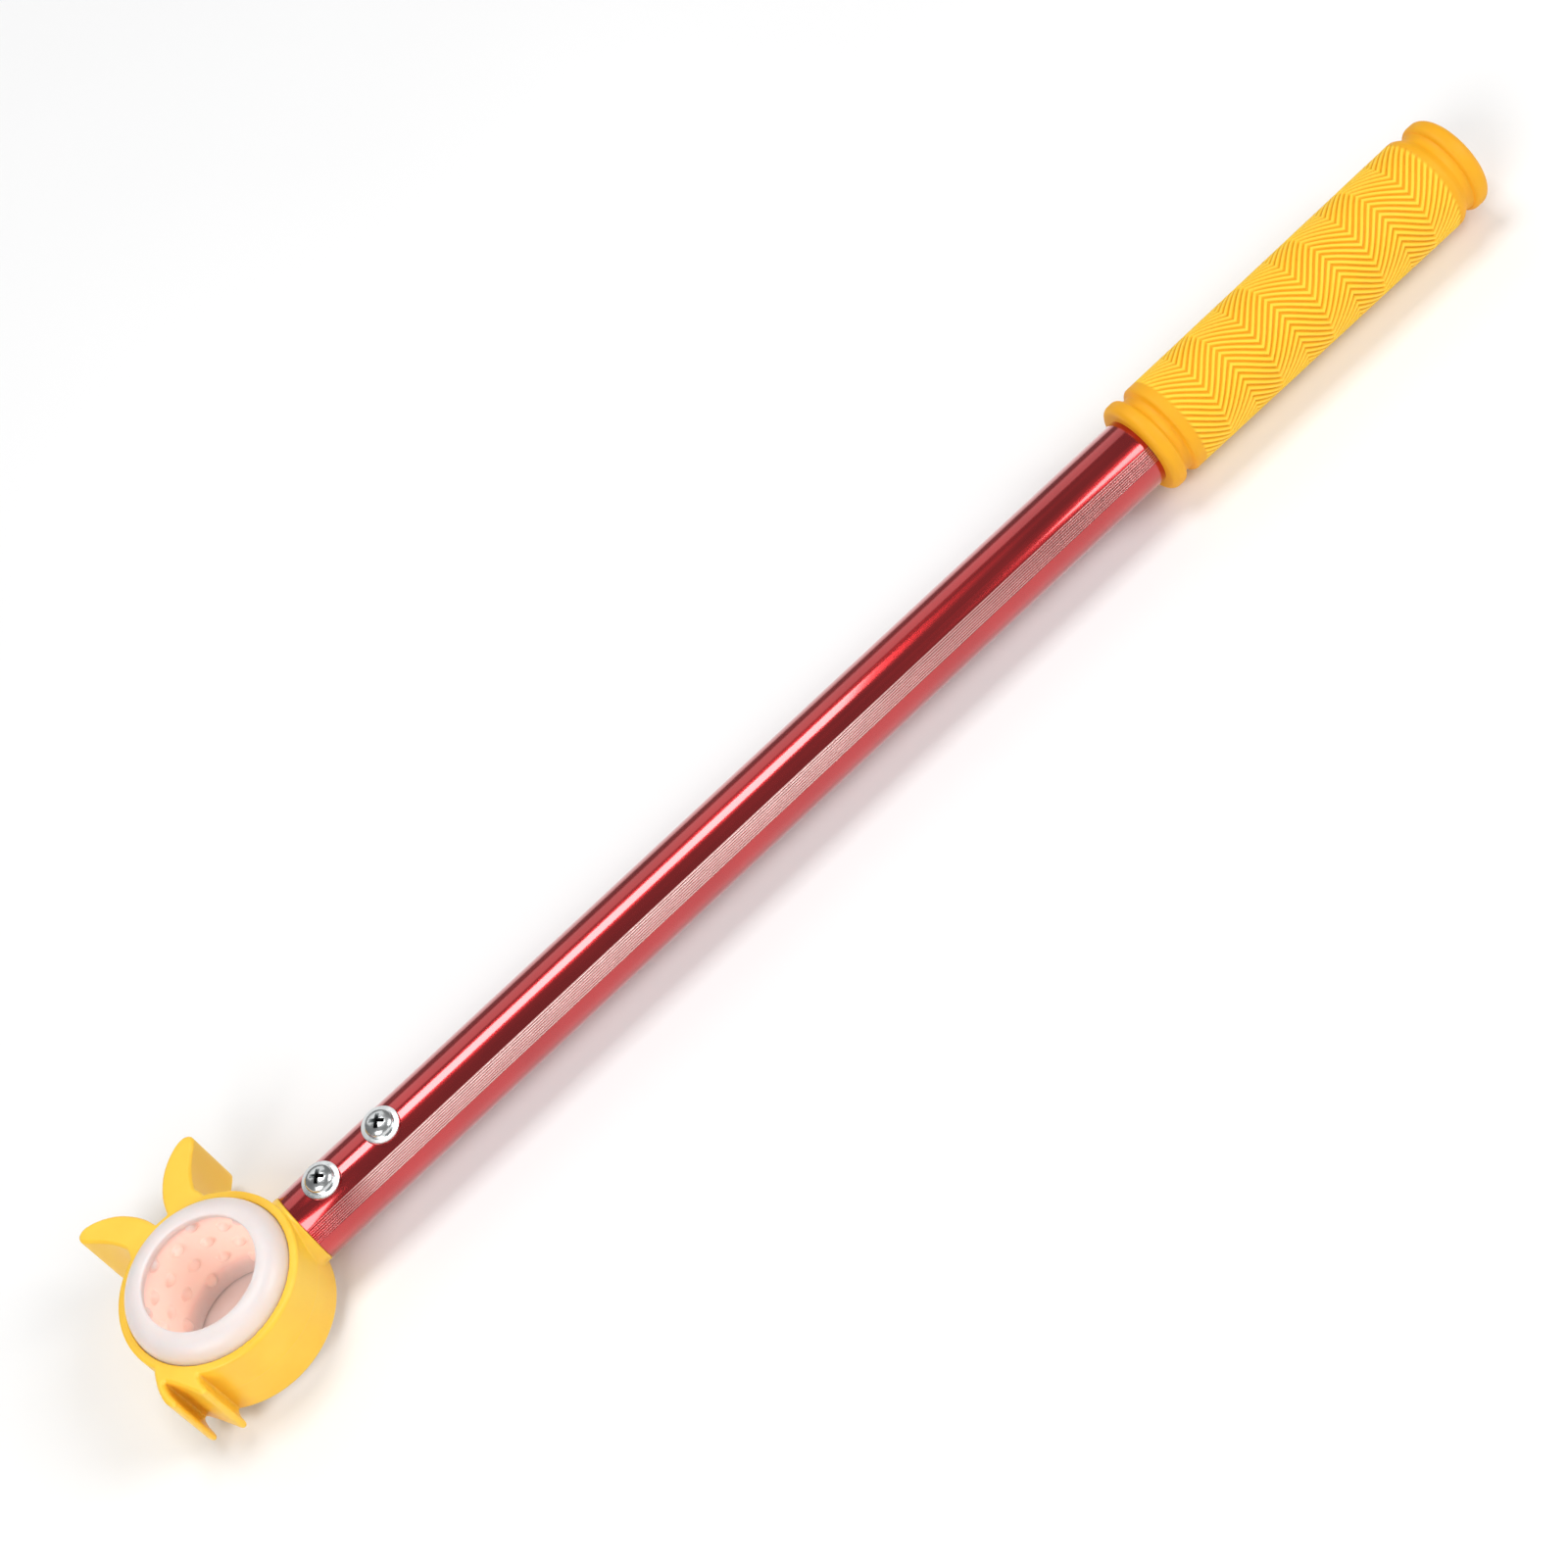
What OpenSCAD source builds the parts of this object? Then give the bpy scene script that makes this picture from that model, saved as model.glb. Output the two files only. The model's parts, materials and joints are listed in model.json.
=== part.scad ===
// Swing trainer stick: a ring head with a soft ball liner on a grooved tube with a rubber grip.
// Origin at the centre of the ball socket, +X along the tube to the grip, +Y to the ears,
// +Z along the socket's axis on the side of the screws.

/* [Ring head] */
// Outer radius of the ring
ring_r = 30.4; // [29.6:0.1:34]
// Inner radius of the ring, where the liner sits
ring_in_r = 27.6; // [26:0.1:28]
// Thickness of the ring along its axis
ring_t = 27.2; // [25.2:0.2:30]
// Rounding of the ring's outer edges
ring_edge_r = 0.8; // [0.4:0.1:1.6]
// Offset of the ears' middle towards the tube
ear_x = 1; // [0:0.1:2]
// Chamfer along the edges of the ears and the legs
fin_chamfer = 0.6; // [0.2:0.1:1]

/* [Ball liner] */
// Radius of the open lips
lip_r = 19.2; // [18:0.1:19.3]
// Height of the lips from the middle plane
lip_z = 19.6; // [18.4:0.1:21]
// Radius of the cavity behind the lips
cavity_r = 21.4; // [21.3:0.1:23]
// Radius of one nub
nub_r = 1.95; // [1:0.05:1.95]
// Number of nub columns around the cavity
nub_columns = 16; // [8:2:20]
// Distance between nubs in a column
nub_pitch = 10.5; // [8:0.5:10.5]

/* [Tube] */
// Outer diameter of the tube
tube_d = 25; // [20:0.5:30]
// Wall of the tube
tube_wall = 1.2; // [0.8:0.1:2]
// Where the tube starts
tube_x0 = 31.8; // [31:0.1:36]
// Where the tube ends, inside the grip
tube_x1 = 530; // [500:1:532]
// Number of fine grooves in the band
groove_n = 8; // [4:1:12]
// Angle between two grooves
groove_step = 3.4; // [3.2:0.1:6]
// Angle of the band's middle, from +Z towards -Y
groove_mid = 57; // [40:1:180]

/* [Fixings] */
// Distance of the first screw from the socket's centre
screw_x0 = 45.3; // [42:0.1:50]
// Distance between the two screws
screw_gap = 24.4; // [16:0.2:28]
// Turn of the screws about the tube, from +Z towards -Y
screw_turn = 5; // [0:0.5:10]
// Diameter of the screw's shank
screw_d = 4.8; // [4:0.1:6]
// Length of the screw under its head
screw_len = 12; // [8:1:18]
// Diameter of the screw's head
screw_head_d = 9.6; // [8:0.1:11]
// Height of the screw's head
screw_head_h = 3.1; // [2:0.1:4]
// Diameter of the washer
washer_d = 12.6; // [10:0.1:15]
// Thickness of the washer
washer_t = 1; // [0.6:0.1:1.6]

/* [Spigot] */
// Where the spigot ends, inside the tube
spigot_x1 = 84; // [80:1:110]
// Diameter of the spigot's core
spigot_core_d = 14; // [8:0.5:16]

/* [Grip] */
// Where the grip starts
grip_x0 = 390.3; // [370:0.1:420]
// Where the grip ends
grip_x1 = 535.4; // [533:0.1:580]
// Radius of the grip's first flange
flange_r = 17.1; // [16:0.1:20]
// Radius of the ridged body at its first end
body_r0 = 16.9; // [16:0.1:20]
// Radius of the ridged body at its far end
body_r1 = 17.5; // [16:0.1:20]
// Radius of the end flange
end_r = 17.2; // [16:0.1:20]
// Radius of the grooves beside the flanges
neck_r = 14.9; // [14:0.1:15.5]

/* [Hidden] */
$fn = 72;
tube_in_r = tube_d / 2 - tube_wall;
bead_h = 0.15;
bead_w = 0.8;
half_t = ring_t / 2;
screw_x1 = screw_x0 + screw_gap;
washer_z = tube_d / 2;
head_z = washer_z + washer_t;
nub_sink = 0.3;
nub_start = 94;
land_z = lip_z - 0.4;
land_low = land_z - 1.1;

// Points of an arc of an ellipse, from angle a0 to a1.
function arc(cx, cy, rx, ry, a0, a1, n) =
    [for (i = [0:n]) let (a = a0 + (a1 - a0) * i / n) [cx + rx * cos(a), cy + ry * sin(a)]];

// Catmull-Rom curve through the points p, in n steps for each span.
function knot(p, i) = p[max(0, min(len(p) - 1, i))];
function span(a, b, c, d, t) =
    0.5 * (2 * b + (c - a) * t + (2 * a - 5 * b + 4 * c - d) * t * t
           + (3 * b - a - 3 * c + d) * t * t * t);
function smooth(p, n) =
    [for (i = [0:len(p) - 2]) for (k = [0:n - 1])
        span(knot(p, i - 1), knot(p, i), knot(p, i + 1), knot(p, i + 2), k / n)];

ear_curve = [[1.5, 27.9], [2.3, 30.4], [3.8, 35.4], [6.4, 40.0], [9.5, 43.7], [13.1, 46.5],
             [17.0, 48.5], [20.5, 49.1], [22.8, 48.0], [23.3, 45.9], [21.8, 43.6],
             [19.5, 41.0], [16.5, 36.9], [14.5, 33.0], [13.8, 30.4], [14.6, 27.8], [14.4, 25.2]];
leg_curve = [[-27.0, -7.6], [-28.6, -10.6], [-30.3, -14.2], [-31.6, -18.3], [-32.1, -22.6],
             [-31.4, -25.4], [-30.2, -26.3], [-29.4, -25.0], [-29.6, -21.5], [-29.3, -18.5],
             [-28.5, -17.2], [-27.4, -18.6], [-25.6, -22.2], [-23.6, -26.6], [-22.2, -29.8],
             [-21.0, -30.5], [-20.1, -29.4], [-20.2, -26.4], [-19.4, -23.8], [-17.8, -22.8]];

// A fin's outline: the outer curve closed through the ring's wall.
module ear_outline() {
    polygon(smooth(ear_curve, 3));
}

module leg_outline() {
    polygon(concat(smooth(leg_curve, 3), [[-17.8, -22.2], [-22, -18]]));
}

// A fin through the ring's whole thickness, with stepped edges for the chamfer.
module fin() {
    translate([0, 0, -half_t + fin_chamfer])
        linear_extrude(ring_t - 2 * fin_chamfer)
            children();
    translate([0, 0, -half_t])
        linear_extrude(ring_t)
            offset(delta = -fin_chamfer)
                children();
}

// A solid of revolution about the X axis.
module about_x(points) {
    rotate([0, 90, 0])
        rotate_extrude()
            polygon(points);
}

module ring_body() {
    e = ring_edge_r;
    top = arc(ring_r - e, half_t - e, e, e, 0, 90, 4);
    low = arc(ring_r - e, e - half_t, e, e, -90, 0, 4);
    bead = [[ring_r, -bead_w / 2], [ring_r + bead_h, 0], [ring_r, bead_w / 2]];
    rotate_extrude()
        polygon(concat([[ring_in_r, -half_t]], low, bead, top, [[ring_in_r, half_t]]));
}

module head_frame() {
    color([0.99, 0.74, 0.16])
        difference() {
            union() {
                ring_body();
                translate([ear_x, 0, 0])
                    fin()
                        ear_outline();
                translate([ear_x, 0, 0])
                    fin()
                        mirror([1, 0])
                            ear_outline();
                fin() leg_outline();
                about_x([[0, 22], [tube_d / 2, 22], [tube_d / 2, tube_x0], [0, tube_x0]]);
                about_x([[0, 22], [tube_in_r, 22], [tube_in_r, spigot_x1 - 1],
                         [tube_in_r - 1, spigot_x1], [0, spigot_x1]]);
            }
            cylinder(h = 60, r = ring_in_r, center = true);
            translate([tube_x0 + 4, 0, 0])
                rotate([0, 90, 0])
                    cylinder(h = spigot_x1, d = spigot_core_d);
            screw_holes(screw_d);
        }
}

// The two holes for the screws, turned about the tube's axis.
module screw_holes(d) {
    for (x = [screw_x0, screw_x1])
        rotate([screw_turn, 0, 0])
            translate([x, 0, 0])
                cylinder(h = 30, d = d);
}

module nub_column(middle, angle) {
    rotate([0, 0, angle])
        for (i = [-1:1])
            translate([cavity_r + nub_sink, 0, middle + i * nub_pitch])
                rotate([0, 90, 0])
                    sphere(r = nub_r + nub_sink, $fn = 16);
}

module ball_liner() {
    dome = arc(lip_r + 1.3, half_t, ring_in_r - lip_r - 1.3, lip_z - half_t, 0, 90, 10);
    side = concat(dome, [[lip_r + 0.3, lip_z - 0.1], [lip_r, land_z], [lip_r, land_low]],
                  [[lip_r + 0.25, land_low - 1], [lip_r + 1.1, land_low - 2.6], [cavity_r, land_low - 4.2]]);
    under = [for (i = [len(side) - 1:-1:0]) [side[i][0], -side[i][1]]];
    color([0.93, 0.89, 0.86])
        union() {
            rotate_extrude()
                polygon(concat(side, under));
            for (i = [0:nub_columns - 1])
                nub_column(nub_pitch * (i % 2 == 0 ? -0.25 : 0.25), nub_start + i * 360 / nub_columns);
        }
}

module shaft_tube() {
    color([0.58, 0.12, 0.14])
        difference() {
            translate([tube_x0, 0, 0])
                rotate([0, 90, 0])
                    cylinder(h = tube_x1 - tube_x0, d = tube_d, $fn = 96);
            translate([tube_x0 - 1, 0, 0])
                rotate([0, 90, 0])
                    cylinder(h = tube_x1 - tube_x0 + 2, r = tube_in_r);
            screw_holes(screw_d + 0.4);
            for (i = [0:groove_n - 1])
                rotate([groove_mid + (i - (groove_n - 1) / 2) * groove_step, 0, 0])
                    translate([tube_x0 - 1, 0, tube_d / 2 + 0.05])
                        rotate([0, 90, 0])
                            cylinder(h = tube_x1 - tube_x0 + 2, r = 0.32, $fn = 14);
        }
}

module grip_sleeve() {
    a = grip_x0;
    b = grip_x1;
    bore_r = tube_d / 2;
    first = concat([[bore_r, a]], arc(flange_r - 2.4, a + 2.4, 2.4, 2.4, -90, 0, 5),
                   arc(flange_r - 1.8, a + 4.0, 1.8, 1.8, 0, 90, 4));
    mid = [[neck_r, a + 6.2], [neck_r, a + 9.2], [body_r0 - 0.6, a + 9.7],
           [body_r0, a + 10.4], [body_r1, b - 14.8], [body_r1 - 0.6, b - 13.0],
           [neck_r + 0.5, b - 11.0], [neck_r + 0.5, b - 8.6], [end_r - 1.8, b - 8.0]];
    last = concat(arc(end_r - 1.8, b - 6.2, 1.8, 1.8, -90, 0, 4),
                  arc(end_r - 4.2, b - 4.4, 4.2, 3.4, 0, 70, 6),
                  [[10, b - 0.3], [0, b]]);
    color([0.98, 0.70, 0.10])
        difference() {
            about_x(concat([[0, a]], first, mid, last));
            translate([a - 1, 0, 0])
                rotate([0, 90, 0])
                    cylinder(h = tube_x1 - a + 1, r = bore_r, $fn = 96);
        }
}

module screw(x) {
    r = screw_head_d / 2;
    color([0.82, 0.84, 0.85])
        rotate([screw_turn, 0, 0])
            translate([x, 0, head_z])
                difference() {
                    union() {
                        rotate_extrude()
                            polygon(concat([[0, 0]], [[r - 0.2, 0]],
                                           arc(0, 0.9, r, screw_head_h - 0.9, 0, 90, 8)));
                        translate([0, 0, 1.5 - screw_len])
                            cylinder(h = screw_len - 1, d = screw_d);
                        translate([0, 0, -screw_len])
                            cylinder(h = 1.6, d1 = 1.6, d2 = screw_d);
                    }
                    for (a = [0, 90])
                        rotate([0, 0, a + 45])
                            translate([-2.6, -0.5, screw_head_h - 1.8])
                                cube([5.2, 1, 3]);
                }
}

module screw_near() {
    screw(screw_x0);
}

module screw_far() {
    screw(screw_x1);
}

module washer(x) {
    color([0.78, 0.80, 0.81])
        rotate([screw_turn, 0, 0])
            translate([x, 0, washer_z])
                difference() {
                    cylinder(h = washer_t, d = washer_d);
                    translate([0, 0, -1])
                        cylinder(h = washer_t + 2, d = screw_d + 0.5);
                }
}

module washer_near() {
    washer(screw_x0);
}

module washer_far() {
    washer(screw_x1);
}

head_frame();
ball_liner();
shaft_tube();
grip_sleeve();
screw_near();
screw_far();
washer_near();
washer_far();
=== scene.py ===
"""Looks of the swing trainer stick: ring head with a soft ball liner, grooved tube, ridged rubber grip.

Frame: origin at the centre of the ball socket, +X along the tube to the grip, +Y to the ears,
+Z along the socket's axis on the side of the screws. Lengths in the shape code are millimetres.
"""
import json
import math

import bmesh
import bpy
from mathutils import Matrix, Vector


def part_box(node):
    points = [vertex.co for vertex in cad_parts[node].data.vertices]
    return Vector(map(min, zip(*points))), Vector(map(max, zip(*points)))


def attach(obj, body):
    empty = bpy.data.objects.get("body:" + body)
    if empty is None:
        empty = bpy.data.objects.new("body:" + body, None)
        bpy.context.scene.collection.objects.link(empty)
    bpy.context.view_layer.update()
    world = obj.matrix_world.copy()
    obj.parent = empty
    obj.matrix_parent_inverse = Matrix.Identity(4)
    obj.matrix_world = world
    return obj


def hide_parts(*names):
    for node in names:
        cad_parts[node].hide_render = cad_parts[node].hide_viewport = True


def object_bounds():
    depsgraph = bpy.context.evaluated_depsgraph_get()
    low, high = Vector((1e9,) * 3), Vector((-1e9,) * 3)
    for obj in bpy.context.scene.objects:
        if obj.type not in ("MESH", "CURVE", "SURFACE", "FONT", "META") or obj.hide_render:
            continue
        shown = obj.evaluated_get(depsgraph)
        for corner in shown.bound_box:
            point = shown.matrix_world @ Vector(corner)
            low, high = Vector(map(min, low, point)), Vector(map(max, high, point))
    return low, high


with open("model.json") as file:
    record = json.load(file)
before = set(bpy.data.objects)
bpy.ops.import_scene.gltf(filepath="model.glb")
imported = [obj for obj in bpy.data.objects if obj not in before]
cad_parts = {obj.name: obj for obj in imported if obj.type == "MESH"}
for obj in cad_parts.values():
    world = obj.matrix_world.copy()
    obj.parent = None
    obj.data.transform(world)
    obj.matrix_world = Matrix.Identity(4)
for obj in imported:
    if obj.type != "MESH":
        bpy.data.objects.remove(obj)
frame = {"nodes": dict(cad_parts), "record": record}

CAD_BOX = [list(corner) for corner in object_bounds()]
MM = 0.001
BODY = "root"


def node_box(name):
    """A node's box in millimetres."""
    low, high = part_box(name)
    return low / MM, high / MM


# ---------------------------------------------------------------- sizes from the frame

tube_low, tube_high = node_box("shaft_tube")
grip_low, grip_high = node_box("grip_sleeve")
liner_high = node_box("ball_liner")[1]
head_high = node_box("head_frame")[1]
TUBE_R = tube_high.y
TUBE_X0 = tube_low.x
TUBE_X1 = tube_high.x
GRIP_X0 = grip_low.x
GRIP_X1 = grip_high.x
LINER_R = liner_high.x
LIP_Z = liner_high.z
HEAD_Z = head_high.z
LIP_R = frame["record"]["mounts"][0]["dims"]["r_mm"]


# ---------------------------------------------------------------- mesh helpers

def add_object(name, vertices, faces):
    """A mesh object from vertices in millimetres."""
    mesh = bpy.data.meshes.new(name)
    mesh.from_pydata([(x * MM, y * MM, z * MM) for x, y, z in vertices], [], faces)
    mesh.update()
    piece = bpy.data.objects.new(name, mesh)
    bpy.context.scene.collection.objects.link(piece)
    return piece


def keep_marks(piece, name, values):
    """Keeps one value at each point of the mesh, for a material to read."""
    layer = piece.data.attributes.new(name, "FLOAT", "POINT")
    layer.data.foreach_set("value", values)


def face_out(piece):
    """Turns every face of a closed mesh outwards and drops doubled points."""
    work = bmesh.new()
    work.from_mesh(piece.data)
    bmesh.ops.remove_doubles(work, verts=work.verts, dist=1e-7)
    bmesh.ops.recalc_face_normals(work, faces=work.faces)
    work.to_mesh(piece.data)
    work.free()
    piece.data.update()


def shade(piece, angle):
    """Smooth shading with sharp edges kept above an angle."""
    for polygon in piece.data.polygons:
        polygon.use_smooth = True
    work = bmesh.new()
    work.from_mesh(piece.data)
    limit = math.radians(angle)
    for edge in work.edges:
        sharp = len(edge.link_faces) == 2 and edge.calc_face_angle(0) > limit
        edge.smooth = not sharp
    work.to_mesh(piece.data)
    work.free()


def apply_modifiers(piece):
    """Writes the piece's modifiers into its mesh."""
    bpy.context.view_layer.update()
    graph = bpy.context.evaluated_depsgraph_get()
    mesh = bpy.data.meshes.new_from_object(piece.evaluated_get(graph))
    piece.modifiers.clear()
    piece.data = mesh


def rings_to_mesh(name, rings, closed_loop=False):
    """Joins rings of points, all of one length, into a closed loop or a tube with capped ends."""
    count = len(rings[0])
    vertices = [point for ring in rings for point in ring]
    faces = []
    spans = len(rings) if closed_loop else len(rings) - 1
    for i in range(spans):
        a = i * count
        b = ((i + 1) % len(rings)) * count
        for k in range(count):
            n = (k + 1) % count
            faces.append((a + k, a + n, b + n, b + k))
    if not closed_loop:
        last = (len(rings) - 1) * count
        faces.append(tuple(reversed(range(count))))
        faces.append(tuple(last + k for k in range(count)))
    return add_object(name, vertices, faces)


def arc(cx, cy, rx, ry, start, end, steps):
    """Points of an arc of an ellipse, angles in degrees."""
    points = []
    for i in range(steps + 1):
        angle = math.radians(start + (end - start) * i / steps)
        points.append((cx + rx * math.cos(angle), cy + ry * math.sin(angle)))
    return points


def smoothstep(low, high, value):
    """A smooth step from 0 at low to 1 at high."""
    t = min(1.0, max(0.0, (value - low) / (high - low)))
    return t * t * (3 - 2 * t)


def turned(name, profile, segments):
    """A closed solid of revolution about Z; profile is a closed loop of (radius, height) off the axis."""
    rings = []
    for k in range(segments):
        angle = 2 * math.pi * k / segments
        rings.append([(r * math.cos(angle), r * math.sin(angle), height) for r, height in profile])
    piece = rings_to_mesh(name, rings, closed_loop=True)
    face_out(piece)
    return piece


def cut(piece, cutter):
    """Takes the cutter's solid out of the piece."""
    modifier = piece.modifiers.new("cut", "BOOLEAN")
    modifier.operation = "DIFFERENCE"
    modifier.solver = "EXACT"
    modifier.object = cutter
    apply_modifiers(piece)
    bpy.data.objects.remove(cutter, do_unlink=True)


def finish_piece(piece, material, slot, *nodes):
    """Gives a piece its material and body and hides the CAD nodes that it stands for; the slot argument is
    not used.
    """
    piece.data.materials.clear()
    piece.data.materials.append(material)
    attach(piece, BODY)
    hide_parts(*nodes)


# ---------------------------------------------------------------- node helpers

def new_material(name):
    """A node material with its shader and the object's own coordinates."""
    material = bpy.data.materials.new(name)
    material.use_nodes = True
    tree = material.node_tree
    shader = tree.nodes["Principled BSDF"]
    place = tree.nodes.new("ShaderNodeTexCoord")
    return material, tree, shader, place.outputs["Object"]


def mark(tree, name):
    """The value that the mesh keeps at each point under a name."""
    node = tree.nodes.new("ShaderNodeAttribute")
    node.attribute_name = name
    return node.outputs["Fac"]


def noise(tree, vector, scale, detail=3.0):
    """A noise texture's value."""
    node = tree.nodes.new("ShaderNodeTexNoise")
    node.inputs["Scale"].default_value = scale
    node.inputs["Detail"].default_value = detail
    tree.links.new(vector, node.inputs["Vector"])
    return node.outputs["Fac"]


def ramp(tree, value, stops):
    """A colour ramp; stops are (position, colour)."""
    node = tree.nodes.new("ShaderNodeValToRGB")
    elements = node.color_ramp.elements
    while len(elements) < len(stops):
        elements.new(0.5)
    for element, (position, colour) in zip(elements, stops):
        element.position = position
        element.color = (*colour, 1.0)
    tree.links.new(value, node.inputs["Fac"])
    return node.outputs["Color"]


def span(tree, value, low, high, out_low, out_high):
    """Maps a value from one range to another."""
    node = tree.nodes.new("ShaderNodeMapRange")
    node.interpolation_type = "SMOOTHSTEP"
    node.inputs["From Min"].default_value = low
    node.inputs["From Max"].default_value = high
    node.inputs["To Min"].default_value = out_low
    node.inputs["To Max"].default_value = out_high
    tree.links.new(value, node.inputs["Value"])
    return node.outputs["Result"]


def calculate(tree, operation, a, b=None):
    """One step of arithmetic on values or numbers."""
    node = tree.nodes.new("ShaderNodeMath")
    node.operation = operation
    for socket, value in zip(node.inputs, (a, b)):
        if value is None:
            continue
        if isinstance(value, (int, float)):
            socket.default_value = value
        else:
            tree.links.new(value, socket)
    return node.outputs["Value"]


def split(tree, vector):
    """The three coordinates of a vector."""
    node = tree.nodes.new("ShaderNodeSeparateXYZ")
    tree.links.new(vector, node.inputs["Vector"])
    return node.outputs["X"], node.outputs["Y"], node.outputs["Z"]


def blend_colours(tree, factor, a, b):
    """Mixes two colours, each a socket or a tuple."""
    node = tree.nodes.new("ShaderNodeMix")
    node.data_type = "RGBA"
    sockets = [s for s in node.inputs if s.type == "RGBA"]
    tree.links.new(factor, node.inputs["Factor"])
    for socket, colour in zip(sockets, (a, b)):
        if isinstance(colour, tuple):
            socket.default_value = (*colour, 1.0)
        else:
            tree.links.new(colour, socket)
    return [s for s in node.outputs if s.type == "RGBA"][0]


def bump(tree, shader, height, strength, distance):
    """Fine relief from a height value."""
    node = tree.nodes.new("ShaderNodeBump")
    node.inputs["Strength"].default_value = strength
    node.inputs["Distance"].default_value = distance
    tree.links.new(height, node.inputs["Height"])
    tree.links.new(node.outputs["Normal"], shader.inputs["Normal"])


# ---------------------------------------------------------------- materials

def head_plastic():
    """Glossy warm yellow moulded plastic, slightly soft."""
    material, tree, shader, place = new_material("head plastic")
    cloud = noise(tree, place, 55.0, 3.0)
    colour = ramp(tree, cloud, [(0.3, (0.96, 0.555, 0.035)), (0.7, (0.985, 0.615, 0.055))])
    tree.links.new(colour, shader.inputs["Base Color"])
    grain = noise(tree, place, 2600.0, 2.0)
    tree.links.new(span(tree, cloud, 0.3, 0.7, 0.30, 0.40), shader.inputs["Roughness"])
    shader.inputs["Subsurface Weight"].default_value = 0.15
    shader.inputs["Subsurface Radius"].default_value = (1.0, 0.45, 0.1)
    shader.inputs["Subsurface Scale"].default_value = 0.0015
    shader.inputs["Specular IOR Level"].default_value = 0.45
    bump(tree, shader, grain, 0.12, 0.00003)
    return material


def grip_rubber():
    """Matt orange-yellow rubber, with a painted highlight on the ridge crests and painted shade between the
    ridges.
    """
    material, tree, shader, place = new_material("grip rubber")
    cloud = noise(tree, place, 70.0, 4.0)
    base = ramp(tree, cloud, [(0.3, (0.86, 0.385, 0.005)), (0.7, (0.90, 0.43, 0.008))])
    # Painted highlight and shade: the crests get a bright yellow, and the valleys keep the darker orange.
    colour = blend_colours(tree, mark(tree, "ridge"), base, (1.0, 0.66, 0.045))
    tree.links.new(colour, shader.inputs["Base Color"])
    tree.links.new(span(tree, cloud, 0.3, 0.7, 0.50, 0.62), shader.inputs["Roughness"])
    shader.inputs["Specular IOR Level"].default_value = 0.35
    shader.inputs["Subsurface Weight"].default_value = 0.08
    shader.inputs["Subsurface Radius"].default_value = (1.0, 0.4, 0.08)
    shader.inputs["Subsurface Scale"].default_value = 0.001
    grain = noise(tree, place, 2200.0, 3.0)
    bump(tree, shader, grain, 0.25, 0.00004)
    return material


def liner_silicone():
    """Soft milky silicone: greyish white lips, and inside the cavity a painted salmon-pink bounce light and
    a painted glow, the glow dimmer on the nubs.
    """
    material, tree, shader, place = new_material("liner silicone")
    x, y, z = split(tree, place)
    height = calculate(tree, "ABSOLUTE", z)
    radius = calculate(tree, "SQRT", calculate(tree, "ADD", calculate(tree, "MULTIPLY", x, x),
                                               calculate(tree, "MULTIPLY", y, y)))
    cloud = noise(tree, place, 90.0, 3.0)
    lips = ramp(tree, cloud, [(0.3, (0.76, 0.70, 0.685)), (0.7, (0.79, 0.73, 0.715))])
    warm = blend_colours(tree, span(tree, radius, 0.0235, 0.0276, 0.0, 0.5), lips, (0.86, 0.66, 0.50))
    # Inside the cavity the colour turns salmon pink: painted bounce light from the yellow head coming
    # through the silicone.
    inside = calculate(tree, "MULTIPLY", span(tree, height, 0.0100, 0.0170, 1.0, 0.0),
                       span(tree, radius, 0.0216, 0.0224, 1.0, 0.0))
    wobble = calculate(tree, "MULTIPLY", inside, span(tree, noise(tree, place, 120.0), 0.3, 0.7, 0.85, 1.0))
    colour = blend_colours(tree, wobble, warm, (1.0, 0.74, 0.65))
    tree.links.new(colour, shader.inputs["Base Color"])
    # Painted glow: emission inside the cavity stands in for light coming through the silicone, and is
    # weaker on the nubs as painted shade.
    shader.inputs["Emission Color"].default_value = (1.0, 0.66, 0.56, 1.0)
    painted_glow = calculate(tree, "MULTIPLY", inside, span(tree, mark(tree, "nub"), 0.0, 1.0, 0.24, 0.09))
    tree.links.new(painted_glow, shader.inputs["Emission Strength"])
    shader.inputs["Roughness"].default_value = 0.36
    shader.inputs["Subsurface Weight"].default_value = 0.8
    shader.inputs["Subsurface Radius"].default_value = (1.0, 0.7, 0.6)
    shader.inputs["Subsurface Scale"].default_value = 0.004
    shader.inputs["Specular IOR Level"].default_value = 0.45
    grain = noise(tree, place, 1500.0, 2.0)
    bump(tree, shader, grain, 0.08, 0.00003)
    return material


def tube_anodised():
    """Dark red anodised aluminium with fine drawing lines along the tube, and a painted glint in its
    grooves.
    """
    material, tree, shader, place = new_material("tube anodised")
    stretch = tree.nodes.new("ShaderNodeMapping")
    stretch.inputs["Scale"].default_value = (6.0, 900.0, 900.0)
    tree.links.new(place, stretch.inputs["Vector"])
    lines = noise(tree, stretch.outputs["Vector"], 1.0, 2.0)
    cloud = noise(tree, place, 40.0, 3.0)
    groove = mark(tree, "groove")
    colour = ramp(tree, cloud, [(0.3, (0.47, 0.010, 0.014)), (0.7, (0.54, 0.014, 0.018))])
    # Painted glint: the grooves get a pale pinkish, less metallic colour that stands in for the light they
    # catch.
    painted_groove_glint = blend_colours(tree, groove, colour, (0.84, 0.56, 0.53))
    tree.links.new(painted_groove_glint, shader.inputs["Base Color"])
    tree.links.new(span(tree, lines, 0.3, 0.7, 0.17, 0.24), shader.inputs["Roughness"])
    tree.links.new(span(tree, groove, 0.2, 0.9, 0.92, 0.5), shader.inputs["Metallic"])
    shader.inputs["Coat Weight"].default_value = 1.0
    shader.inputs["Coat Roughness"].default_value = 0.10
    shader.inputs["Coat IOR"].default_value = 1.7
    bump(tree, shader, lines, 0.03, 0.00001)
    return material


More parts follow.
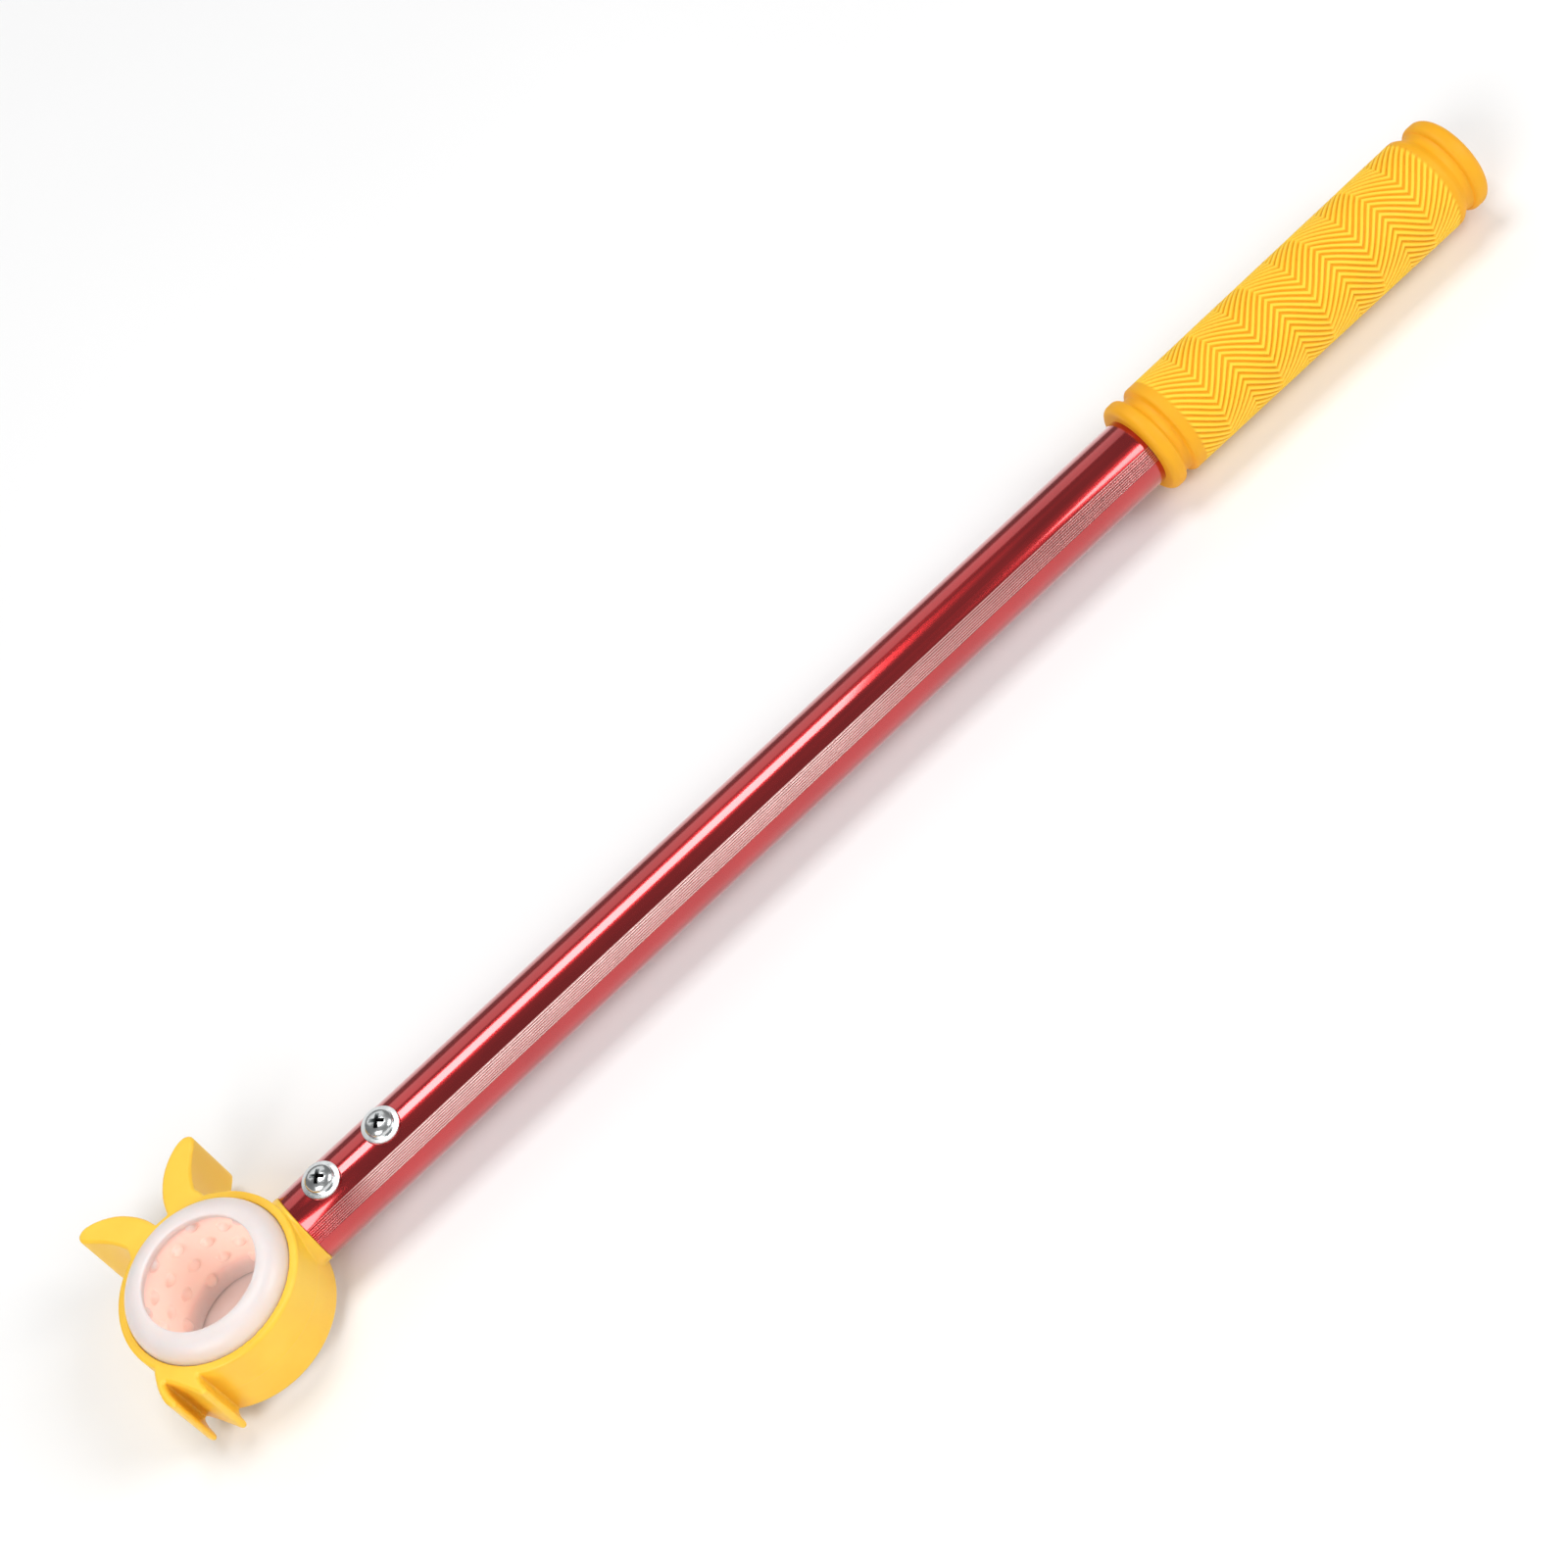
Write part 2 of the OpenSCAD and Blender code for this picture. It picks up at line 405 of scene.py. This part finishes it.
def zinc(name, shine):
    """Zinc-plated steel with a faint turned grain, and painted shade down in a cross recess."""
    material, tree, shader, place = new_material(name)
    cloud = noise(tree, place, 260.0, 4.0)
    colour = ramp(tree, cloud, [(0.3, (0.66, 0.69, 0.70)), (0.7, (0.80, 0.82, 0.82))])
    # Painted shade: points down in the cross recess go near black.
    colour = blend_colours(tree, mark(tree, "recess"), colour, (0.02, 0.02, 0.02))
    tree.links.new(colour, shader.inputs["Base Color"])
    shader.inputs["Metallic"].default_value = 1.0
    tree.links.new(span(tree, cloud, 0.3, 0.7, shine, shine + 0.12), shader.inputs["Roughness"])
    bump(tree, shader, noise(tree, place, 1800.0, 2.0), 0.1, 0.00002)
    return material


def floor_paper():
    """Plain pale paper."""
    material, tree, shader, place = new_material("floor paper")
    cloud = noise(tree, place, 3.0, 2.0)
    colour = ramp(tree, cloud, [(0.3, (0.90, 0.90, 0.90)), (0.7, (0.93, 0.93, 0.93))])
    tree.links.new(colour, shader.inputs["Base Color"])
    shader.inputs["Roughness"].default_value = 0.9
    return material


# ---------------------------------------------------------------- head

VOXEL = 0.34
SMOOTHING_PASSES = 6


def make_head():
    """The moulded head: the CAD solid with every edge and corner rounded, as on a moulding."""
    source = frame["nodes"]["head_frame"]
    piece = bpy.data.objects.new("head_moulding", source.data.copy())
    bpy.context.scene.collection.objects.link(piece)
    piece.data.materials.clear()
    face_out(piece)
    remesh = piece.modifiers.new("remesh", "REMESH")
    remesh.mode = "VOXEL"
    remesh.voxel_size = VOXEL * MM
    smooth = piece.modifiers.new("smooth", "SMOOTH")
    smooth.factor = 0.5
    smooth.iterations = SMOOTHING_PASSES
    apply_modifiers(piece)
    low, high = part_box("head_frame")
    for vertex in piece.data.vertices:
        for i in range(3):
            vertex.co[i] = min(max(vertex.co[i], low[i]), high[i])
    for polygon in piece.data.polygons:
        polygon.use_smooth = True
    return piece


# ---------------------------------------------------------------- liner

NUB_COLUMNS = 16
NUB_PITCH = 10.5
NUB_START = math.radians(94)
NUB_R = 2.1
NUB_HEIGHT = 1.9
NUB_RIM = 0.96
NUB_FOOT = 1.14
NUB_FOOT_RISE = 0.28
CAVITY_R = 21.4
CREVICE = 0.4
UNDER_LIP_DEPTH = 5.5
UNDER_LIP_STEPS = 14
WALL_STEPS = 46
LINER_SEGMENTS = NUB_COLUMNS * 26


def nub_centres():
    """Angle and height of every nub: columns of three, a quarter pitch lower and higher in turn."""
    centres = []
    for column in range(NUB_COLUMNS):
        angle = NUB_START + column * 2 * math.pi / NUB_COLUMNS
        middle = NUB_PITCH * (-0.25 if column % 2 == 0 else 0.25)
        for i in (-1, 0, 1):
            centres.append((angle, middle + i * NUB_PITCH))
    return centres


def nub_rise(angle, height, centres):
    """How far the cavity's wall stands inwards at a place, from the nearest nub."""
    reach = NUB_R * NUB_FOOT
    best = 0.0
    for centre_angle, centre_height in centres:
        if abs(height - centre_height) > reach:
            continue
        turn = (angle - centre_angle + math.pi) % (2 * math.pi) - math.pi
        distance = math.hypot(turn * CAVITY_R, height - centre_height) / NUB_R
        if distance < NUB_RIM:
            rise = math.sqrt(1 - distance * distance)
        elif distance < NUB_FOOT:
            rise = NUB_FOOT_RISE * (1 - smoothstep(NUB_RIM, NUB_FOOT, distance))
        else:
            rise = 0.0
        best = max(best, rise * NUB_HEIGHT)
    return best


def liner_profile():
    """The liner's section from the middle of its outer wall round to the middle of its cavity."""
    outer = [(LINER_R, z) for z in (0.0, 4.5, 9.0, HEAD_Z - 2 * CREVICE)]
    dome = arc(LIP_R + 1.3, HEAD_Z - CREVICE, LINER_R - LIP_R - 1.55, LIP_Z - HEAD_Z + CREVICE, 0, 90, 22)
    lip = arc(LIP_R + 1.0, LIP_Z - 0.55, 1.0, 0.55, 90, 180, 6)
    under = []
    for i in range(1, UNDER_LIP_STEPS + 1):
        t = i / UNDER_LIP_STEPS
        under.append((LIP_R + (CAVITY_R - LIP_R) * smoothstep(0, 1, t), LIP_Z - 1.5 - UNDER_LIP_DEPTH * t))
    top = outer + dome + lip[1:] + [(LIP_R, LIP_Z - 1.2)] + under
    wall_top = top[-1][1]
    return top + [(CAVITY_R, wall_top * (1 - i / WALL_STEPS)) for i in range(1, WALL_STEPS + 1)]


def make_liner():
    """The soft ring: one closed surface with nubs raised from its cavity's wall."""
    half = liner_profile()
    lower = [(radius, -height) for radius, height in reversed(half[1:-1])]
    profile = half + lower
    centres = nub_centres()
    rings = []
    raised = []
    for k in range(LINER_SEGMENTS):
        angle = 2 * math.pi * k / LINER_SEGMENTS
        ring = []
        for radius, height in profile:
            rise = 0.0
            if radius <= CAVITY_R + 0.01 and abs(height) < LIP_Z - 2.5:
                rise = nub_rise(angle, height, centres)
            reach = max(radius - rise, LIP_R + 0.1) if rise else radius
            ring.append((reach * math.cos(angle), reach * math.sin(angle), height))
            raised.append(smoothstep(0.0, 0.6, rise))
        rings.append(ring)
    piece = rings_to_mesh("ball_liner_ring", rings, closed_loop=True)
    # The nub mark dims the painted glow on the nubs.
    keep_marks(piece, "nub", raised)
    face_out(piece)
    shade(piece, 50)
    return piece


# ---------------------------------------------------------------- tube

TUBE_WALL = 1.2
GROOVE_COUNT = 8
GROOVE_MID = math.radians(57)
GROOVE_STEP = math.radians(3.4)
GROOVE_HALF_WIDTH = 0.30
GROOVE_DEPTH = 0.27
HOLE_R = 2.6
SCREW_TURN = math.radians(5)
AXIS_GAP = 0.0001


def tube_radius(angle):
    """Outer radius of the tube at an angle from +Z towards -Y, with its fine grooves."""
    depth = 0.0
    for i in range(GROOVE_COUNT):
        middle = GROOVE_MID + (i - (GROOVE_COUNT - 1) / 2) * GROOVE_STEP
        off = abs(angle - middle) * TUBE_R
        if off < GROOVE_HALF_WIDTH:
            depth = max(depth, GROOVE_DEPTH * math.sqrt(1 - (off / GROOVE_HALF_WIDTH) ** 2))
    return TUBE_R - depth


def tube_angles():
    """Angles round the tube: even steps, and finer ones across the groove band."""
    half_band = GROOVE_STEP * (GROOVE_COUNT / 2 + 0.3)
    low = GROOVE_MID - half_band
    high = GROOVE_MID + half_band
    fine = [low + (high - low) * i / 160 for i in range(161)]
    rest = 2 * math.pi - (high - low)
    coarse = [high + rest * i / 180 for i in range(1, 180)]
    return fine + coarse


def make_tube():
    """The drawn tube, with rounded ends and the two holes for the screws."""
    angles = tube_angles()
    inner_r = TUBE_R - TUBE_WALL
    ends = [(TUBE_X0, -0.25), (TUBE_X0 + 0.08, -0.08), (TUBE_X0 + 0.25, 0.0)]
    stations = ends + [(60.0, 0.0), (90.0, 0.0), (250.0, 0.0), (TUBE_X1 - 0.25, 0.0)]
    stations += [(TUBE_X1 - 0.08, -0.08), (TUBE_X1, -0.25)]
    rings = []
    for x, change in stations:
        ring = []
        for angle in angles:
            radius = tube_radius(angle) + change
            ring.append((x, -radius * math.sin(angle), radius * math.cos(angle)))
        rings.append(ring)
    for x in (TUBE_X1, TUBE_X0):
        rings.append([(x, -inner_r * math.sin(a), inner_r * math.cos(a)) for a in angles])
    piece = rings_to_mesh("tube", rings, closed_loop=True)
    # Groove depth at each point, which the material turns into the painted glint.
    depth = []
    for vertex in piece.data.vertices:
        radius = math.hypot(vertex.co.y, vertex.co.z) / MM
        outside = TUBE_X0 + 0.3 < vertex.co.x / MM < TUBE_X1 - 0.3 and radius > TUBE_R - 0.5
        depth.append(smoothstep(0.05, 0.22, TUBE_R - radius) if outside else 0.0)
    keep_marks(piece, "groove", depth)
    face_out(piece)
    for name in ("screw_near", "screw_far"):
        low, high = node_box(name)
        profile = [(AXIS_GAP, 0.0), (HOLE_R, 0.0), (HOLE_R, 20.0), (AXIS_GAP, 20.0)]
        cutter = turned("hole_cutter", profile, 32)
        place_on_tube(cutter, (low.x + high.x) / 2, 0.0)
        cut(piece, cutter)
    shade(piece, 30)
    return piece


def place_on_tube(piece, x, height):
    """Moves a shape made about +Z to a place on the tube, turned about the tube's axis."""
    move = Matrix.Rotation(SCREW_TURN, 4, "X") @ Matrix.Translation(Vector((x, 0, height)) * MM)
    piece.data.transform(move)


# ---------------------------------------------------------------- grip

RIDGES = 42
RIDGE_SAMPLES = 10
ZIGZAG_PERIODS = 5
ZIGZAG_SWING = 10.6
SWING_R = 17.2
BORE_END_R = 0.5
RIDGE_DEPTH = 0.75
BODY_R0 = 16.9
BODY_R1 = 17.5
NECK_R = 14.9
FLANGE_R = 17.1
END_R = 17.2
TEXTURE_START = 13.5
TEXTURE_END = 15.6
ROWS_PER_PERIOD = 24
CORNER_ROUNDING = 0.035
FADE = 0.9


def ridge_height(phase):
    """Height across one ridge, from 0 in the valley to 1 on the crest."""
    off = abs(phase - 0.5) * 2
    return 1.0 - smoothstep(0.38, 0.86, off)


def grip_stations():
    """Stations along the grip: (x, radius, texture weight, zigzag shift)."""
    a = GRIP_X0
    b = GRIP_X1
    start = a + TEXTURE_START
    end = b - TEXTURE_END
    stations = []
    for r, x in arc(FLANGE_R - 2.4, a + 2.4, 2.4, 2.4, -90, 0, 8):
        stations.append((x, r, 0.0, 0.0))
    for r, x in arc(FLANGE_R - 1.8, a + 4.0, 1.8, 1.8, 0, 80, 7):
        stations.append((x, r, 0.0, 0.0))
    stations += [(x, r, 0.0, 0.0) for x, r in (
        (a + 6.0, NECK_R + 0.25), (a + 6.5, NECK_R), (a + 8.9, NECK_R), (a + 9.3, NECK_R + 0.2),
        (a + 9.6, BODY_R0 - 0.9), (a + 9.9, BODY_R0 - 0.35), (a + 10.5, BODY_R0 - 0.02),
        (a + 11.3, BODY_R0), (start - 0.8, BODY_R0), (start - 0.2, BODY_R0))]
    rows = ZIGZAG_PERIODS * ROWS_PER_PERIOD
    for i in range(rows + 1):
        t = i / rows
        x = start + (end - start) * t
        wave = (t * ZIGZAG_PERIODS) % 1.0
        swing = 1 - abs(2 * wave - 1)
        soft = smoothstep(0, 1, swing) * CORNER_ROUNDING * 2 + swing * (1 - CORNER_ROUNDING * 2)
        weight = smoothstep(0.0, FADE, x - start) * smoothstep(0.0, FADE, end - x)
        radius = BODY_R0 + (BODY_R1 - BODY_R0) * t
        stations.append((x, radius, weight, soft))
    stations += [(x, r, 0.0, 0.0) for x, r in (
        (end + 0.4, BODY_R1), (b - 14.8, BODY_R1), (b - 13.9, BODY_R1 - 0.12), (b - 13.0, BODY_R1 - 0.6),
        (b - 12.0, BODY_R1 - 1.3), (b - 11.2, NECK_R + 0.75), (b - 10.6, NECK_R + 0.5),
        (b - 8.9, NECK_R + 0.5), (b - 8.4, NECK_R + 0.65))]
    for r, x in arc(END_R - 1.8, b - 6.2, 1.8, 1.8, -80, 0, 6):
        stations.append((x, r, 0.0, 0.0))
    for r, x in arc(END_R - 4.2, b - 4.4, 4.2, 3.4, 0, 72, 10):
        stations.append((x, r, 0.0, 0.0))
    stations += [(x, r, 0.0, 0.0) for x, r in ((b - 0.45, 11.0), (b - 0.25, 8.0), (b - 0.1, 4.0), (b, 1.0))]
    return stations


def make_grip():
    """The rubber sleeve, with zigzag ridges raised from its body, a bore and a closed end."""
    columns = RIDGES * RIDGE_SAMPLES
    bore = [(TUBE_X1, BORE_END_R, 0.0, 0.0), (TUBE_X1, TUBE_R, 0.0, 0.0), (GRIP_X0, TUBE_R, 0.0, 0.0)]
    rings = []
    heights = []
    for x, radius, weight, shift in bore + grip_stations():
        ring = []
        for k in range(columns):
            angle = 2 * math.pi * k / columns + shift * ZIGZAG_SWING / SWING_R
            crest = ridge_height((k % RIDGE_SAMPLES) / RIDGE_SAMPLES)
            r = radius - weight * RIDGE_DEPTH * (1 - crest)
            ring.append((x, -r * math.sin(angle), r * math.cos(angle)))
            heights.append(weight * crest)
        rings.append(ring)
    piece = rings_to_mesh("grip", rings)
    # The ridge mark drives the painted highlight on the crests.
    keep_marks(piece, "ridge", heights)
    work = bmesh.new()
    work.from_mesh(piece.data)
    bmesh.ops.recalc_face_normals(work, faces=work.faces)
    work.to_mesh(piece.data)
    work.free()
    shade(piece, 50)
    return piece


# ---------------------------------------------------------------- screws and washers

HEAD_D = 9.6
HEAD_H = 3.1
SHANK_D = 4.8
SHANK_L = 12.0
THREAD_TURNS = 9
THREAD_PITCH = 1.1
THREAD_DEPTH = 0.55
WASHER_R = 6.3
WASHER_HOLE_R = 2.65
WASHER_T = 1.0
WASHER_EDGE = 0.22


def recess_cutter(turn):
    """One wing of the cross recess, narrowing downwards."""
    c = math.cos(math.radians(turn))
    s = math.sin(math.radians(turn))
    vertices = []
    for z, half_long, half_wide in ((0.8, 1.1, 0.42), (HEAD_H + 0.8, 3.3, 0.78)):
        for u, v in ((-1, -1), (1, -1), (1, 1), (-1, 1)):
            x = u * half_long
            y = v * half_wide
            vertices.append((x * c - y * s, x * s + y * c, z))
    faces = [(3, 2, 1, 0), (4, 5, 6, 7), (0, 1, 5, 4), (1, 2, 6, 5), (2, 3, 7, 6), (3, 0, 4, 7)]
    cutter = add_object("recess_cutter", vertices, faces)
    face_out(cutter)
    return cutter


def mark_recess(piece):
    """Marks the points down in the recess, for the painted shade that makes it dark."""
    marks = []
    for vertex in piece.data.vertices:
        x, y, z = vertex.co / MM
        down = smoothstep(0.3, 1.0, HEAD_H - z)
        marks.append(down if z > 0.3 and math.hypot(x, y) < 3.0 else 0.0)
    keep_marks(piece, "recess", marks)


def make_screw(name, node):
    """A pan-head screw with a cross recess and a ribbed shank that stands in for its thread."""
    low, high = node_box(node)
    x = (low.x + high.x) / 2
    r = HEAD_D / 2
    head = [(r - 0.35, 0.0), (r - 0.08, 0.12), (r, 0.45)]
    head += arc(0, 0.9, r, HEAD_H - 0.9, 0, 88, 14)
    profile = [(0.001, -SHANK_L), (0.8, -SHANK_L)]
    root = SHANK_D / 2 - THREAD_DEPTH
    for i in range(THREAD_TURNS):
        z = -SHANK_L + 1.6 + i * THREAD_PITCH
        profile += [(root, z), (SHANK_D / 2, z + 0.35), (root, z + 0.7)]
    profile += [(SHANK_D / 2, -0.4), (SHANK_D / 2, 0.0)] + head + [(0.001, HEAD_H)]
    piece = turned(name, profile, 64)
    for turn in (45, 135):
        cut(piece, recess_cutter(turn))
    mark_recess(piece)
    place_on_tube(piece, x, TUBE_R + WASHER_T)
    shade(piece, 40)
    return piece


def make_washer(name, node):
    """A flat washer with rolled edges."""
    low, high = node_box(node)
    x = (low.x + high.x) / 2
    outer = WASHER_R
    inner = WASHER_HOLE_R
    top = WASHER_T
    e = WASHER_EDGE
    profile = [(inner, e), (inner + e, 0.0), (outer - e, 0.0), (outer - 0.06, 0.06), (outer, e)]
    profile += [(outer, top - e), (outer - 0.06, top - 0.06), (outer - e, top),
                (inner + e, top), (inner, top - e)]
    piece = turned(name, profile, 96)
    place_on_tube(piece, x, TUBE_R)
    shade(piece, 35)
    return piece


# ---------------------------------------------------------------- build

zinc_head = zinc("zinc screw", 0.16)
zinc_flat = zinc("zinc washer", 0.24)
finish_piece(make_head(), head_plastic(), "head", "head_frame")
finish_piece(make_liner(), liner_silicone(), "liner", "ball_liner")
finish_piece(make_tube(), tube_anodised(), "tube", "shaft_tube")
finish_piece(make_grip(), grip_rubber(), "grip", "grip_sleeve")
for end in ("near", "far"):
    finish_piece(make_screw("cross_screw_" + end, "screw_" + end), zinc_head, "screw", "screw_" + end)
    finish_piece(make_washer("flat_washer_" + end, "washer_" + end), zinc_flat, "washer", "washer_" + end)


# ---------------------------------------------------------------- studio

FLOOR_HALF = 9000
FLOOR_GAP = 0.2
LENS = 81.0
CAMERA_PLACE = Vector((0.0843, -0.6870, 0.8556))
CAMERA_RIGHT = Vector((0.7246, -0.5934, -0.3497))
CAMERA_UP = Vector((0.6759, 0.5127, 0.5289))


def make_floor():
    """A wide pale floor just under the lips of the liner."""
    size = FLOOR_HALF
    z = CAD_BOX[0][2] / MM - FLOOR_GAP
    corners = [(-size, -size, z), (size, -size, z), (size, size, z), (-size, size, z)]
    floor = add_object("floor", corners, [(0, 1, 2, 3)])
    floor.data.materials.append(floor_paper())


def add_light(name, place, target, width, height, power):
    """A soft rectangular light aimed at a point."""
    lamp = bpy.data.lights.new(name, "AREA")
    lamp.shape = "RECTANGLE"
    lamp.size = width
    lamp.size_y = height
    lamp.energy = power
    light = bpy.data.objects.new(name, lamp)
    light.location = place
    aim = Vector(target) - Vector(place)
    light.rotation_euler = aim.to_track_quat("-Z", "Y").to_euler()
    bpy.context.scene.collection.objects.link(light)


def make_world():
    """Even grey surroundings."""
    world = bpy.data.worlds.new("studio")
    world.use_nodes = True
    background = world.node_tree.nodes["Background"]
    background.inputs["Color"].default_value = (1.0, 1.0, 1.0, 1.0)
    background.inputs["Strength"].default_value = 0.22
    bpy.context.scene.world = world


def make_camera():
    """The camera at the viewing angle, head end nearer, tube rising to the upper right."""
    lens = bpy.data.cameras.new("camera")
    lens.sensor_width = 36.0
    lens.lens = LENS
    lens.clip_start = 0.01
    lens.clip_end = 60.0
    camera = bpy.data.objects.new("camera", lens)
    right = CAMERA_RIGHT.normalized()
    up = (CAMERA_UP - right * CAMERA_UP.dot(right)).normalized()
    back = right.cross(up)
    turn = Matrix((right, up, back)).transposed().to_4x4()
    camera.matrix_world = Matrix.Translation(CAMERA_PLACE) @ turn
    bpy.context.scene.collection.objects.link(camera)
    bpy.context.scene.camera = camera


make_floor()
make_world()
make_camera()
add_light("top strip", (0.27, 0.38, 1.80), (0.25, 0.0, 0.0), 0.72, 0.66, 12.5)
add_light("back fill", (0.25, 1.50, 1.25), (0.25, 0.0, 0.0), 2.2, 1.1, 5.5)
add_light("front fill", (0.10, -1.75, 0.42), (0.15, 0.0, 0.0), 1.8, 0.75, 3.2)
add_light("left fill", (-1.35, -1.15, 1.60), (0.0, 0.0, 0.0), 1.2, 1.2, 27.0)
add_light("right fill", (2.00, -1.15, 1.60), (0.3, 0.0, 0.0), 1.2, 1.2, 29.0)
bpy.context.scene.view_settings.view_transform = "Standard"
